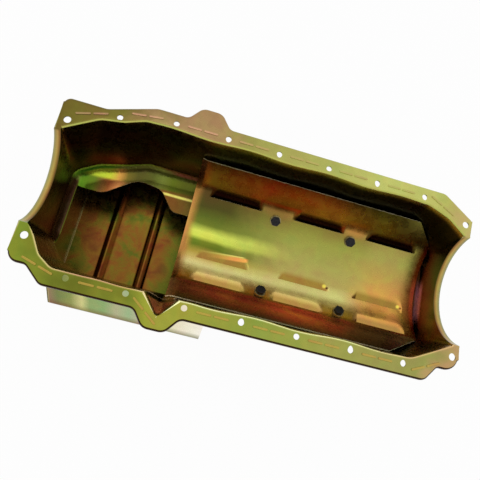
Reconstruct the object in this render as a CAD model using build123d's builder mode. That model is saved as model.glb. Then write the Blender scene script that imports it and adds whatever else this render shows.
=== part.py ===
from build123d import *
from math import cos, radians, sin, sqrt
import os

# Wet-sump engine oil pan with a windage tray, millimetres.
# The origin is on the gasket face, under the crankshaft line, in the middle of the rail bolts.
# +X is the front of the engine, +Y its left-hand side, +Z up to the engine block.

os.makedirs("parts", exist_ok=True)

# Sheet steel
sheet = 1.6                 # 16 gauge, the same for every pressing
hem = 5.0                   # height of the turned-down edge round the flange
weld_gap = 0.02             # what is left between two welded faces

# Rail and corner bolt holes
rail_pitch = 68.0           # along the engine
rail_bolts_each_way = 3     # bolts on each side of the middle one
rail_bolt_y = 110.0
rear_left_bolt_y = 96.5     # the one rail bolt that sits further in
rail_hole_d = 7.4
rear_bolt_inset = 11.6      # from the flange's rear edge
rear_bolt_y = 74.5
front_bolt_inset = 9.1      # from the flange's front edge
front_bolt_y = 87.7
corner_hole_d = 9.0

# Flange outline
rail_edge_y = 124.2         # outer edge of both rails
flange_rear_x = -273.6
flange_front_x = 275.6
rear_left_y = 104.0         # the left-hand rail is narrow at its rear end
rear_right_y = 106.0
front_left_y = 96.5
front_right_y = 105.0
lug_x = -96.3               # a dipstick lug stands out of each rail
lug_y = 142.8
lug_half_top = 13.0
lug_half_foot = 27.5

# Pressed beads that grip the gasket, each in two dashes
bead_height = 0.9
bead_width = 3.0
bead_dash = 18.5
bead_break = 2.5
bead_offset = 1.0           # further out than the bolt line

# Pressed trough
mouth_y = 102.3             # side walls at the gasket face
floor_y = 86.0              # side walls carried down to the floor
floor_depth = 119.0         # inside of the trough's floor
rear_land = 8.1             # flange left behind the trough, under the rear seal
front_land = 8.6
rear_lean = 1.5             # the end walls lean in by this much at the floor
front_lean = 0.2
floor_bend = 19.0           # inside radius between walls and floor
mouth_rear_x = flange_rear_x + rear_land
mouth_front_x = flange_front_x - front_land
floor_rear_x = mouth_rear_x + rear_lean
floor_front_x = mouth_front_x - front_lean

# Dipstick pocket in the right-hand wall
pocket_y = 128.5            # its sharp tip at the gasket face
pocket_half = 24.0
pocket_base_y = 98.0
pocket_depth = 99.0         # where it has run out into the wall
pocket_tip_r = 4.0

# Half-round seal seats in the end walls
seat_width = 9.0
rear_seat_r = 66.2
rear_seat_z = 27.3          # centre, above the gasket face
front_seat_r = 74.3
front_seat_z = 17.1

# Opening in the trough's floor, down to the sump
mouth_cut_depth = 99.0      # the trough's walls end here over the sump
ledge_y = 32.5              # edge of the floor that is left beside the opening
notch_right_x = -119.0      # round notch for the oil pump's pick-up
notch_left_x = -221.0
notch_peak_x = -178.0
notch_peak_y = 66.0
notch_shoulder_x = -141.0
notch_shoulder_y = 61.0
notch_right_r = 14.0
notch_shoulder_r = 22.0
notch_peak_r = 30.0
notch_left_r = 26.0

# Sump box
sump_depth = 188.0          # underside of its floor
sump_rear_x = -256.4        # inside of its rear plate
sump_front_x = -31.0
sump_half_width = 136.0     # inside, at its floor
sump_bend = 7.0
rib_width = 15.6            # round stiffening ribs across the floor, pressed upwards
rib_height = 3.5
rib_half_length = 104.0
rib_pitch = 60.5
rib_middle_x = -141.0
left_gusset_front_x = -171.0
right_gusset_front_x = -221.0

# Windage tray: an arc about the crankshaft line between two flat flanks, bent up steeper
tray_r = 102.5              # inside radius
tray_rear_x = -93.5
tray_front_gap = 4.3        # to the trough's front wall
tray_front_x = floor_front_x - tray_front_gap
tray_left_bend = 42.5       # where the flanks start, degrees from straight down
tray_right_bend = -39.5
tray_left_edge_y = 90.3     # upper edges of the flanks, inside
tray_left_edge_depth = 38.7
tray_right_edge_y = 95.7
tray_right_edge_depth = 30.0
tray_left_cut = 38.0        # length of the cut corner at the front, along the upper edge
tray_right_cut = 63.0

# Louvres of the tray: each row is (open edge in degrees from straight down, centres along X)
louvre_rows = (
    (34.7, (-32.5, 93.0, 205.3)),
    (-15.6, (-30.5, 90.5, 204.3)),
    (-37.7, (-31.0, 81.0, 205.5)),
)
louvre_length = 79.0
louvre_end_taper = 8.0
louvre_depth = 5.5
louvre_span = 8.6           # degrees from the open edge to the bend

# Tray fixings
fixing_xs = (29.3, 144.3)
left_fixing_angle = 30.2    # degrees from straight down
right_fixing_angle = -32.2
standoff_d = 12.7
bolt_d = 6.35
bolt_length = 16.0
bolt_clearance = 0.3        # on the diameter
head_across_flats = 12.7
head_height = 4.6
washer_d = 16.0
washer_height = 1.2

# Drain, low in the sump's rear plate
drain_y = 72.0
drain_rise = 24.0           # its middle, above the sump's underside
drain_depth = sump_depth - drain_rise
bung_d = 27.0
bung_length = 14.0
bung_proud = 1.0
drain_thread_d = 14.0
plug_length = 12.0
plug_across_flats = 19.0
plug_head_height = 8.0
plug_flange_d = 23.0
plug_flange_height = 2.0
drain_washer_d = 22.0
drain_washer_height = 1.5


# Label a finished piece and write it.
def finish(builder, name):
    builder.part.label = name
    export_step(builder.part, f"parts/{name}.step")


# Corners of the trough, (point, radius), at the gasket face and where the walls meet the floor.
mouth_corners = [
    ((mouth_rear_x, 62.0), 6.0),
    ((mouth_rear_x + 40.5, 87.0), 25.0),
    ((mouth_rear_x + 68.5, 92.0), 25.0),
    ((mouth_rear_x + 93.5, mouth_y), 22.0),
    ((mouth_front_x - 57.0, mouth_y), 22.0),
    ((mouth_front_x - 24.0, 89.8), 22.0),
    ((mouth_front_x, 71.5), 6.0),
    ((mouth_front_x, -73.0), 6.0),
    ((mouth_front_x - 56.0, -mouth_y), 30.0),
    ((mouth_rear_x + 42.5, -mouth_y), 14.0),
    ((mouth_rear_x + 25.5, -91.0), 18.0),
    ((mouth_rear_x + 12.5, -70.0), 20.0),
    ((mouth_rear_x, -58.0), 6.0),
]
floor_corners = [
    ((floor_rear_x, 46.0), 24.0),
    ((floor_rear_x + 29.0, 64.0), 60.0),
    ((floor_rear_x + 67.0, 75.0), 60.0),
    ((floor_rear_x + 99.0, floor_y), 40.0),
    ((floor_front_x - 50.8, floor_y), 30.0),
    ((floor_front_x - 21.8, 79.0), 30.0),
    ((floor_front_x, 65.0), 22.0),
    ((floor_front_x, -62.0), 24.0),
    ((floor_front_x - 46.8, -floor_y), 30.0),
    ((floor_rear_x + 49.0, -floor_y), 30.0),
    ((floor_rear_x + 27.0, -78.0), 30.0),
    ((floor_rear_x + 12.0, -62.0), 30.0),
    ((floor_rear_x, -44.0), 26.0),
]
flange_corners = [
    ((flange_rear_x, rear_left_y), 9.0),
    ((flange_rear_x + 51.6, rear_left_y), 20.0),
    ((flange_rear_x + 110.6, rail_edge_y), 25.0),
    ((lug_x - lug_half_foot, rail_edge_y), 10.0),
    ((lug_x - lug_half_top, lug_y), 14.0),
    ((lug_x + lug_half_top, lug_y), 14.0),
    ((lug_x + lug_half_foot, rail_edge_y), 10.0),
    ((flange_front_x - 41.6, rail_edge_y), 12.0),
    ((flange_front_x - 4.6, 99.5), 12.0),
    ((flange_front_x, front_left_y), 4.0),
    ((flange_front_x, -front_right_y), 18.0),
    ((flange_front_x - 26.6, -front_right_y), 6.0),
    ((flange_front_x - 41.6, -rail_edge_y), 12.0),
    ((lug_x + lug_half_foot, -rail_edge_y), 10.0),
    ((lug_x + lug_half_top, -lug_y), 14.0),
    ((lug_x - lug_half_top, -lug_y), 14.0),
    ((lug_x - lug_half_foot, -rail_edge_y), 10.0),
    ((flange_rear_x + 43.6, -rail_edge_y), 12.0),
    ((flange_rear_x + 22.6, -rear_right_y), 8.0),
    ((flange_rear_x, -rear_right_y), 13.0),
]
pocket_corners = [
    ((lug_x - pocket_half, -pocket_base_y), 0.0),
    ((lug_x, -pocket_y), pocket_tip_r),
    ((lug_x + pocket_half, -pocket_base_y), 0.0),
]


# A closed outline with a radius for each corner, moved outwards by grow.
def outline(corners, grow=0.0):
    with BuildSketch(Plane.XY, mode=Mode.PRIVATE) as shape:
        with BuildLine():
            FilletPolyline(*[point for point, _ in corners], radius=[r for _, r in corners], close=True)
        make_face()
        if grow:
            offset(amount=grow, kind=Kind.INTERSECTION)
    return shape.sketch


# Half width of the trough at a depth, over its straight sides.
def wall_y(depth, grow=0.0):
    return mouth_y + grow - (mouth_y - floor_y) * depth / (floor_depth + grow)


# The trough as a full block: its inside, or its outside when it is grown by the sheet.
def trough_block(grow=0.0):
    with BuildPart() as block:
        with BuildSketch(Plane.XY):
            add(outline(mouth_corners, grow))
        with BuildSketch(Plane.XY.offset(-floor_depth - grow)):
            add(outline(floor_corners, grow))
        loft(ruled=True)
        fillet(block.edges().group_by(Axis.Z)[0], radius=floor_bend + grow)
    return block.part


# The dipstick pocket leans in as it goes down, so it is one slanting extrusion.
pocket_run = pocket_y - wall_y(pocket_depth)


def pocket_block(grow=0.0):
    with BuildPart() as block:
        with BuildSketch(Plane.XY):
            add(outline(pocket_corners, grow))
        extrude(amount=sqrt(pocket_run**2 + pocket_depth**2), dir=(0, pocket_run, -pocket_depth))
    return block.part


# Half-round seat: a ring below the gasket face between two places along X.
def seat_ring(x_from, x_to, radius, centre_z):
    with BuildPart() as ring:
        with BuildSketch(Plane.YZ.offset(x_from)):
            with Locations((0, centre_z)):
                Circle(radius + sheet)
                Circle(radius, mode=Mode.SUBTRACT)
            Rectangle(4 * radius, 2 * radius, align=(Align.CENTER, Align.MAX), mode=Mode.INTERSECT)
        extrude(amount=x_to - x_from)
    return ring.part


# Section of the sump box across the engine, its inside or grown outwards, open above the waist.
waist_depth = mouth_cut_depth
waist_y = wall_y(waist_depth, sheet) + weld_gap
sump_floor_depth = sump_depth - sheet
flare = (sump_half_width - waist_y) / (sump_floor_depth - waist_depth)


def sump_section(grow=0.0):
    rise = 30.0
    top_y = waist_y - flare * rise
    corners = [
        ((-top_y, rise - waist_depth), 0.0),
        ((-sump_half_width, -sump_floor_depth), sump_bend),
        ((sump_half_width, -sump_floor_depth), sump_bend),
        ((top_y, rise - waist_depth), 0.0),
    ]
    with BuildSketch(Plane.XY, mode=Mode.PRIVATE) as section:
        add(outline(corners, grow))
        with Locations((0, -waist_depth)):
            Rectangle(4 * sump_half_width, 2 * sump_depth, align=(Align.CENTER, Align.MAX),
                      mode=Mode.INTERSECT)
    return section.sketch


def at_angle(radius, angle):
    return (radius * sin(radians(angle)), -radius * cos(radians(angle)))


# Pan body: flange, hem, trough, pocket and seal seats, pressed from one sheet

trough_inside = trough_block()
trough_outside = trough_block(sheet)

rail_bolts = []
for step in range(-rail_bolts_each_way, rail_bolts_each_way + 1):
    left_y = rear_left_bolt_y if step == -rail_bolts_each_way else rail_bolt_y
    rail_bolts.append((step * rail_pitch, left_y))
    rail_bolts.append((step * rail_pitch, -rail_bolt_y))
rear_bolt_x = flange_rear_x + rear_bolt_inset
front_bolt_x = flange_front_x - front_bolt_inset
corner_bolts = [(rear_bolt_x, rear_bolt_y), (rear_bolt_x, -rear_bolt_y),
                (front_bolt_x, front_bolt_y), (front_bolt_x, -front_bolt_y)]

# Beads as (x, y, angle): one between each two rail bolts, and the odd ones near the ends.
bead_y = rail_bolt_y + bead_offset
beads = [
    (flange_rear_x + 36.6, 91.0, 17.0),
    (-2.5 * rail_pitch - 2.5, 109.0, 8.0),
    (flange_front_x - 44.6, 105.0, -28.0),
    (flange_rear_x + 36.1, -104.0, -17.0),
    (lug_x - 14.5, -124.0, -37.0),
    (flange_front_x - 42.6, -107.0, 24.0),
]
for step in range(-rail_bolts_each_way, rail_bolts_each_way):
    bead_x = (step + 0.5) * rail_pitch
    if step > -rail_bolts_each_way:
        beads.append((bead_x, bead_y, 0.0))
    if step != -2:
        beads.append((bead_x, -bead_y, 0.0))


# Both dashes of every bead, at a given width.
def bead_sketch(width):
    half_step = (bead_dash + bead_break) / 2
    with BuildSketch(Plane.XY, mode=Mode.PRIVATE) as sketch:
        for x, y, angle in beads:
            for side in (-1, 1):
                along = side * half_step
                with Locations((x + along * cos(radians(angle)), y + along * sin(radians(angle)))):
                    SlotOverall(bead_dash, width, rotation=angle)
    return sketch.sketch


with BuildPart() as pan_body:
    with BuildSketch(Plane.XY):
        add(outline(flange_corners))
    extrude(amount=-sheet)
    with BuildSketch(Plane.XY):
        add(outline(flange_corners))
        add(outline(flange_corners, -sheet), mode=Mode.SUBTRACT)
    extrude(amount=-hem)
    add(trough_outside)
    add(pocket_block(sheet))
    add(seat_ring(flange_rear_x, mouth_rear_x, rear_seat_r, rear_seat_z))
    add(seat_ring(mouth_front_x, flange_front_x, front_seat_r, front_seat_z))
    add(trough_inside, mode=Mode.SUBTRACT)
    add(pocket_block(), mode=Mode.SUBTRACT)
    # the half-round openings
    with BuildSketch(Plane.YZ.offset(flange_rear_x - seat_width)):
        with Locations((0, rear_seat_z)):
            Circle(rear_seat_r)
    extrude(amount=3 * seat_width, mode=Mode.SUBTRACT)
    with BuildSketch(Plane.YZ.offset(flange_front_x + seat_width)):
        with Locations((0, front_seat_z)):
            Circle(front_seat_r)
    extrude(amount=-3 * seat_width, mode=Mode.SUBTRACT)
    # bolt holes
    with BuildSketch(Plane.XY):
        with Locations(*rail_bolts):
            Circle(rail_hole_d / 2)
        with Locations(*corner_bolts):
            Circle(corner_hole_d / 2)
    extrude(amount=-2 * sheet, mode=Mode.SUBTRACT)
    # gasket beads, raised on the face and hollow behind
    with BuildSketch(Plane.XY):
        add(bead_sketch(bead_width))
    extrude(amount=bead_height)
    with BuildSketch(Plane.XY.offset(-sheet)):
        add(bead_sketch(bead_width / 2))
    extrude(amount=bead_height, mode=Mode.SUBTRACT)
    # the opening to the sump, with the notch for the pick-up
    opening_front_x = sump_front_x - 2 * sheet
    with BuildSketch(Plane.XY.offset(-mouth_cut_depth)):
        with BuildLine():
            FilletPolyline(
                (sump_rear_x, -rail_edge_y),
                (opening_front_x, -rail_edge_y),
                (opening_front_x, ledge_y),
                (notch_right_x, ledge_y),
                (notch_shoulder_x, notch_shoulder_y),
                (notch_peak_x, notch_peak_y),
                (notch_left_x, ledge_y),
                (sump_rear_x, ledge_y),
                radius=[0, 0, 0, notch_right_r, notch_shoulder_r, notch_peak_r, notch_left_r, 0],
                close=True,
            )
        make_face()
    extrude(amount=-floor_depth, mode=Mode.SUBTRACT)
finish(pan_body, "pan_body")


# Sump box: a bent wrap with pressed ribs, two end plates and two corner gussets

rib_r = rib_height / 2 + rib_width**2 / (8 * rib_height)
rib_centre_z = rib_height - rib_r - sump_floor_depth
rib_xs = [rib_middle_x + step * rib_pitch for step in (-1, 0, 1)]


# All three ribs as round bars with ball ends, cut off flat at the underside of the floor.
def rib_bars(radius):
    with BuildPart() as bars:
        for x in rib_xs:
            with Locations((x, 0, rib_centre_z)):
                Cylinder(radius, 2 * rib_half_length, rotation=(90, 0, 0))
            with Locations((x, -rib_half_length, rib_centre_z), (x, rib_half_length, rib_centre_z)):
                Sphere(radius)
        split(bisect_by=Plane.XY.offset(-sump_depth))
    return bars.part


with BuildPart() as sump_wrap:
    with BuildSketch(Plane.YZ.offset(sump_rear_x)):
        add(sump_section(sheet))
        add(sump_section(), mode=Mode.SUBTRACT)
    extrude(amount=sump_front_x - sump_rear_x)
    add(rib_bars(rib_r))
    add(rib_bars(rib_r - sheet), mode=Mode.SUBTRACT)
finish(sump_wrap, "sump_wrap")

with BuildPart() as sump_rear_plate:
    with BuildSketch(Plane.YZ.offset(sump_rear_x)):
        add(sump_section(sheet))
    extrude(amount=-sheet)
    add(trough_outside, mode=Mode.SUBTRACT)
    with BuildSketch(Plane.YZ.offset(sump_rear_x)):
        with Locations((drain_y, -drain_depth)):
            Circle(bung_d / 2 + weld_gap)
    extrude(amount=-2 * sheet, mode=Mode.SUBTRACT)
finish(sump_rear_plate, "sump_rear_plate")

with BuildPart() as sump_front_plate:
    with BuildSketch(Plane.YZ.offset(sump_front_x)):
        add(sump_section(-weld_gap))
    extrude(amount=-sheet)
    add(trough_outside, mode=Mode.SUBTRACT)
finish(sump_front_plate, "sump_front_plate")


# A flat plate that closes the box at a rear corner, between the wrap and the trough's slanting wall.
def gusset_sketch(side, front_x):
    with BuildSketch(Plane.XY.offset(-waist_depth), mode=Mode.PRIVATE) as sketch:
        with Locations((sump_rear_x, side * waist_y)):
            Rectangle(front_x - sump_rear_x, waist_y,
                      align=(Align.MIN, Align.MAX if side > 0 else Align.MIN))
    return sketch.sketch


for side, front_x, name in ((1, left_gusset_front_x, "left_gusset"),
                            (-1, right_gusset_front_x, "right_gusset")):
    with BuildPart() as gusset:
        add(extrude(gusset_sketch(side, front_x), amount=-sheet, dir=(0, 0, 1)))
        add(trough_outside, mode=Mode.SUBTRACT)
    finish(gusset, name)


# Windage tray

# The hollow under one louvre, or its outside when it is grown by the sheet.
def louvre_block(open_angle, centre_x, grow=0.0):
    hinge_angle = open_angle + louvre_span
    half = louvre_length / 2 + grow
    inner_r = tray_r + grow / 2 if grow else tray_r - sheet
    open_edge = at_angle(tray_r, open_angle)
    hinge_edge = at_angle(tray_r, hinge_angle)
    deep_edge = at_angle(tray_r + louvre_depth, open_angle)
    with BuildPart() as block:
        with BuildSketch(Plane.YZ.offset(centre_x - half)):
            with BuildLine():
                Polyline(
                    at_angle(inner_r, open_angle),
                    at_angle(tray_r + louvre_depth + grow, open_angle),
                    at_angle(tray_r + grow, hinge_angle),
                    at_angle(inner_r, hinge_angle),
                    close=True,
                )
            make_face()
        extrude(amount=2 * half)
        for end in (-1, 1):
            tip = Vector(centre_x + end * half, *open_edge)
            bent = Vector(centre_x + end * (half - louvre_end_taper), *hinge_edge)
            deep = Vector(centre_x + end * (half - louvre_end_taper), *deep_edge)
            out = (bent - tip).cross(deep - tip)
            if out.X * end < 0:
                out = -out
            split(bisect_by=Plane(origin=tip, x_dir=bent - tip, z_dir=out), keep=Keep.BOTTOM)
    return block.part


# Frame of one tray fixing: at a distance from the crankshaft line, its Z towards that line.
def fixing_plane(x, angle, radius):
    y, z = at_angle(radius, angle)
    return Plane(origin=(x, y, z), x_dir=(1, 0, 0), z_dir=(0, -y, -z))


fixing_spots = [(x, angle) for x in fixing_xs for angle in (left_fixing_angle, right_fixing_angle)]
louvres = [(open_angle, centre_x) for open_angle, centres in louvre_rows for centre_x in centres]

with BuildPart() as windage_tray:
    with BuildSketch(Plane.YZ.offset(tray_rear_x)):
        with BuildLine():
            middle = CenterArc((0, 0), tray_r, tray_right_bend - 90, tray_left_bend - tray_right_bend)
            Line(middle @ 0, (-tray_right_edge_y, -tray_right_edge_depth))
            Line(middle @ 1, (tray_left_edge_y, -tray_left_edge_depth))
            offset(amount=sheet, side=Side.RIGHT)
        make_face()
    extrude(amount=tray_front_x - tray_rear_x)
    for open_angle, centre_x in louvres:
        add(louvre_block(open_angle, centre_x, sheet))
    for open_angle, centre_x in louvres:
        add(louvre_block(open_angle, centre_x), mode=Mode.SUBTRACT)
    # the front corners of the flanks are cut off
    for bend, edge_y, cut in (
        (tray_left_bend, tray_left_edge_y, tray_left_cut),
        (tray_right_bend, -tray_right_edge_y, tray_right_cut),
    ):
        bend_y = at_angle(tray_r, bend)[0]
        with BuildSketch(Plane.XY):
            with BuildLine():
                Polyline(
                    (tray_front_x, bend_y),
                    (tray_front_x - cut, edge_y),
                    (tray_front_x - cut, 2 * edge_y),
                    (2 * tray_front_x, 2 * edge_y),
                    (2 * tray_front_x, bend_y),
                    close=True,
                )
            make_face()
        extrude(amount=-2 * tray_r, mode=Mode.SUBTRACT)
    for x, angle in fixing_spots:
        with BuildSketch(fixing_plane(x, angle, tray_r)):
            Circle((bolt_d + bolt_clearance) / 2)
        extrude(amount=2 * sheet, both=True, mode=Mode.SUBTRACT)
finish(windage_tray, "windage_tray")


# Tray fixings: a welded standoff, a washer and a hexagon bolt at each spot

washer_seat_r = sqrt(tray_r**2 - (washer_d / 2)**2)
head_seat_r = washer_seat_r - washer_height
standoff_top_r = tray_r + sheet + weld_gap

for number, (x, angle) in enumerate(fixing_spots, start=1):
    with BuildPart() as standoff:
        with BuildSketch(fixing_plane(x, angle, standoff_top_r)):
            Circle(standoff_d / 2)
        extrude(amount=-floor_depth)
        add(trough_inside, mode=Mode.INTERSECT)
        with BuildSketch(fixing_plane(x, angle, standoff_top_r)):
            Circle((bolt_d + bolt_clearance) / 2)
        extrude(amount=-bolt_length, mode=Mode.SUBTRACT)
    finish(standoff, f"tray_standoff_{number}")

    with BuildPart() as washer:
        with BuildSketch(fixing_plane(x, angle, washer_seat_r)):
            Circle(washer_d / 2)
            Circle((bolt_d + bolt_clearance) / 2, mode=Mode.SUBTRACT)
        extrude(amount=washer_height)
    finish(washer, f"tray_washer_{number}")

    with BuildPart() as bolt:
        with BuildSketch(fixing_plane(x, angle, head_seat_r)):
            RegularPolygon(head_across_flats / 2, 6, major_radius=False)
        extrude(amount=head_height)
        with BuildSketch(fixing_plane(x, angle, head_seat_r)):
            Circle(bolt_d / 2)
        extrude(amount=-bolt_length)
    finish(bolt, f"tray_bolt_{number}")


# Drain: a threaded bung welded in the rear plate, its washer and its plug

plate_outer_x = sump_rear_x - sheet
bung_face_x = plate_outer_x - bung_proud


def drain_plane(x):
    return Plane(origin=(x, drain_y, -drain_depth), x_dir=(0, 1, 0), z_dir=(-1, 0, 0))


with BuildPart() as drain_bung:
    with BuildSketch(drain_plane(bung_face_x)):
        Circle(bung_d / 2)
        Circle(drain_thread_d / 2, mode=Mode.SUBTRACT)
    extrude(amount=-bung_length)
finish(drain_bung, "drain_bung")

with BuildPart() as drain_washer:
    with BuildSketch(drain_plane(bung_face_x)):
        Circle(drain_washer_d / 2)
        Circle((drain_thread_d + bolt_clearance) / 2, mode=Mode.SUBTRACT)
    extrude(amount=drain_washer_height)
finish(drain_washer, "drain_washer")

plug_seat_x = bung_face_x - drain_washer_height
with BuildPart() as drain_plug:
    with BuildSketch(drain_plane(plug_seat_x)):
        Circle(plug_flange_d / 2)
    extrude(amount=plug_flange_height)
    with BuildSketch(drain_plane(plug_seat_x - plug_flange_height)):
        RegularPolygon(plug_across_flats / 2, 6, major_radius=False)
    extrude(amount=plug_head_height)
    with BuildSketch(drain_plane(plug_seat_x)):
        Circle(drain_thread_d / 2 - weld_gap)
    extrude(amount=-plug_length)
finish(drain_plug, "drain_plug")
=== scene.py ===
from math import cos, pi, radians, sin

import bmesh
import bpy
from mathutils import Euler, Matrix, Vector


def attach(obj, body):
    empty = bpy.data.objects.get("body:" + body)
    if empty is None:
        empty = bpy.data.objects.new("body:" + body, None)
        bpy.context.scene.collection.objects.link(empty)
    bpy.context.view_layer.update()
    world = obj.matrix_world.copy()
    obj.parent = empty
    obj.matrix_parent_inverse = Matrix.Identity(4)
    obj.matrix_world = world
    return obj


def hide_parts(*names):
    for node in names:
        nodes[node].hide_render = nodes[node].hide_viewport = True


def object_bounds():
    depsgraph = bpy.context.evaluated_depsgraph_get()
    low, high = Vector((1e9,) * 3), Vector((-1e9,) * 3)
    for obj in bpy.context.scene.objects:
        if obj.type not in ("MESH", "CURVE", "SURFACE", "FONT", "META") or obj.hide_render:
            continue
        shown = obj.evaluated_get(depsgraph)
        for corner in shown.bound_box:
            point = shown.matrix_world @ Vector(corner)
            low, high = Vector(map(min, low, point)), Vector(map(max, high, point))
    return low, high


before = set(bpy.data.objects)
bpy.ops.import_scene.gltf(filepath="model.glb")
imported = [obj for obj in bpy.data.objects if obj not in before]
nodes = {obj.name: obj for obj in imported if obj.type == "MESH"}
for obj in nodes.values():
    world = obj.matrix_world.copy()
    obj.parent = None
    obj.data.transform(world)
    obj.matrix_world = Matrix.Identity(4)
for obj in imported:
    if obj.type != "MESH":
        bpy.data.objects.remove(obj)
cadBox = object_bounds()
print("frame loaded:", len(nodes), "nodes")

mm = 0.001
degree = radians(1)


def linear(code):
    # sRGB hex to the linear colour that the shaders take
    parts = [c / 255 for c in bytes.fromhex(code)]
    return [c / 12.92 if c <= 0.04045 else ((c + 0.055) / 1.055) ** 2.4 for c in parts] + [1.0]


def fillRamp(node, stops):
    ramp = node.color_ramp
    while len(ramp.elements) < len(stops):
        ramp.elements.new(1.0)
    for element, (place, code) in zip(ramp.elements, stops.items()):
        element.position = place
        element.color = linear(code)


def addNode(tree, kind, links=None, values=None, stops=None, **settings):
    # a link comes from a socket, or from a node's first output that is in use
    node = tree.nodes.new(kind)
    for name, value in settings.items():
        setattr(node, name, value)
    for socket, value in (values or {}).items():
        node.inputs[socket].default_value = value
    for socket, source in (links or {}).items():
        if isinstance(source, bpy.types.Node):
            source = next(output for output in source.outputs if output.enabled)
        tree.links.new(source, node.inputs[socket])
    if stops:
        fillRamp(node, stops)
    return node


def newMaterial(name):
    material = bpy.data.materials.new(name)
    material.use_nodes = True
    material.node_tree.nodes.clear()
    return material, material.node_tree


def perMetre(sizeMm):
    # noise scale that gives features of about this size
    return 1000 / sizeMm


def smoothStep(value, low, high):
    t = min(max((value - low) / (high - low), 0.0), 1.0)
    return t * t * (3 - 2 * t)


def awayFrom(tree, place, middle):
    # how far a place is from a middle in mm, to whichever side
    offset = addNode(tree, "ShaderNodeMath", {0: place}, {1: middle * mm}, operation="SUBTRACT")
    return addNode(tree, "ShaderNodeMath", {0: offset}, operation="ABSOLUTE")


def shareOf(tree, *limits, unit=mm, most=1.0, smooth=False):
    # how far a spot is inside all the limits, from 0 to 1: each is such a share already, or a place and
    # the two values between which its share rises
    share = None
    for limit in limits:
        if isinstance(limit, tuple):
            place, (start, end) = limit
            limit = addNode(tree, "ShaderNodeMapRange", {"Value": place},
                            {"From Min": start * unit, "From Max": end * unit, "To Max": most},
                            interpolation_type="SMOOTHSTEP" if smooth else "LINEAR")
        if share:
            limit = addNode(tree, "ShaderNodeMath", {0: share, 1: limit}, operation="MULTIPLY")
        share = limit
    return share


def tinted(tree, under, tint, *limits, blend="MIX", **how):
    # a tint laid over what is under it, inside all the limits; both are hex codes or come from the tree
    links, values = {"Factor": shareOf(tree, *limits, **how)}, {}
    for socket, colour in (("A", under), ("B", tint)):
        if isinstance(colour, str):
            values[socket] = linear(colour)
        else:
            links[socket] = colour
    return addNode(tree, "ShaderNodeMix", links, values, data_type="RGBA", blend_type=blend)


# yellow chromate over zinc-plated steel: a thin clear film, so the metal shines through it and its tint
# wanders from green through gold to red-brown, with cloudy mottling and a soft gloss
chromateLook = {
    "tintSize": 70,                 # mm, broad patches of tint
    "mottleSize": 11,               # mm, cloudy mottling
    "grainSize": 1.6,               # mm, rolled sheet grain, drawn coarser than it is so that it shows
    "hueSize": 24,                  # mm, drifts from green to orange
    "hueDrift": 0.015,              # of the whole colour wheel, each way
    "hueNoise": (0.32, 0.68), "mottleNoise": (0.3, 0.7),        # the part of each noise that is used
    "saturation": 0.98,
    "cloud": (0.95, 1.04),          # the tint's brightness across the mottling
    "roughness": (0.22, 0.32),
    "bump": 0.015, "bumpDepth": 0.2,
    "thickFilmMetal": 0.45,         # where the film is thick, less of the metal shines through
}


def chromateBase(name):
    # the tree, with what each chromate finish starts from
    material, tree = newMaterial(name)
    place = addNode(tree, "ShaderNodeTexCoord").outputs["Object"]
    xyz = addNode(tree, "ShaderNodeSeparateXYZ", {"Vector": place})
    broad = addNode(tree, "ShaderNodeTexNoise", {"Vector": place},
                    {"Scale": perMetre(chromateLook["tintSize"]), "Detail": 3.0, "Roughness": 0.55,
                     "Distortion": 0.6})
    return material, tree, place, [xyz.outputs[axis] for axis in "XYZ"], broad


def chromateEnd(tree, place, tint, thick=None):
    # hue drift, mottling, grain and gloss over a tint, and the shader; thick is the share of thick film
    look = chromateLook
    hueLow, hueHigh = look["hueNoise"]
    mottleLow, mottleHigh = look["mottleNoise"]
    drift = addNode(tree, "ShaderNodeTexNoise", {"Vector": place},
                    {"Scale": perMetre(look["hueSize"]), "Detail": 2.0, "Distortion": 0.5})
    hue = addNode(tree, "ShaderNodeMapRange", {"Value": drift},
                  {"From Min": hueLow, "From Max": hueHigh, "To Min": 0.5 - look["hueDrift"],
                   "To Max": 0.5 + look["hueDrift"]})
    drifted = addNode(tree, "ShaderNodeHueSaturation", {"Color": tint, "Hue": hue},
                      {"Saturation": look["saturation"]})
    mottle = addNode(tree, "ShaderNodeTexNoise", {"Vector": place},
                     {"Scale": perMetre(look["mottleSize"]), "Detail": 3.5, "Roughness": 0.5})
    cloud, gloss = [addNode(tree, "ShaderNodeMapRange", {"Value": mottle},
                            {"From Min": mottleLow, "From Max": mottleHigh, "To Min": low, "To Max": high})
                    for low, high in (look["cloud"], look["roughness"])]
    cloudy = addNode(tree, "ShaderNodeMix", {"A": drifted, "B": cloud}, {"Factor": 1.0},
                     data_type="RGBA", blend_type="MULTIPLY")
    grain = addNode(tree, "ShaderNodeTexNoise", {"Vector": place},
                    {"Scale": perMetre(look["grainSize"]), "Detail": 2.0})
    bump = addNode(tree, "ShaderNodeBump", {"Height": grain},
                   {"Strength": look["bump"], "Distance": look["bumpDepth"] * mm})
    shader = addNode(tree, "ShaderNodeBsdfPrincipled",
                     {"Base Color": cloudy, "Roughness": gloss, "Normal": bump}, {"Metallic": 1.0})
    if thick:
        metal = addNode(tree, "ShaderNodeMapRange", {"Value": thick},
                        {"To Min": 1.0, "To Max": look["thickFilmMetal"]})
        tree.links.new(metal.outputs["Result"], shader.inputs["Metallic"])
    addNode(tree, "ShaderNodeOutputMaterial", {"Surface": shader})


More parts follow.
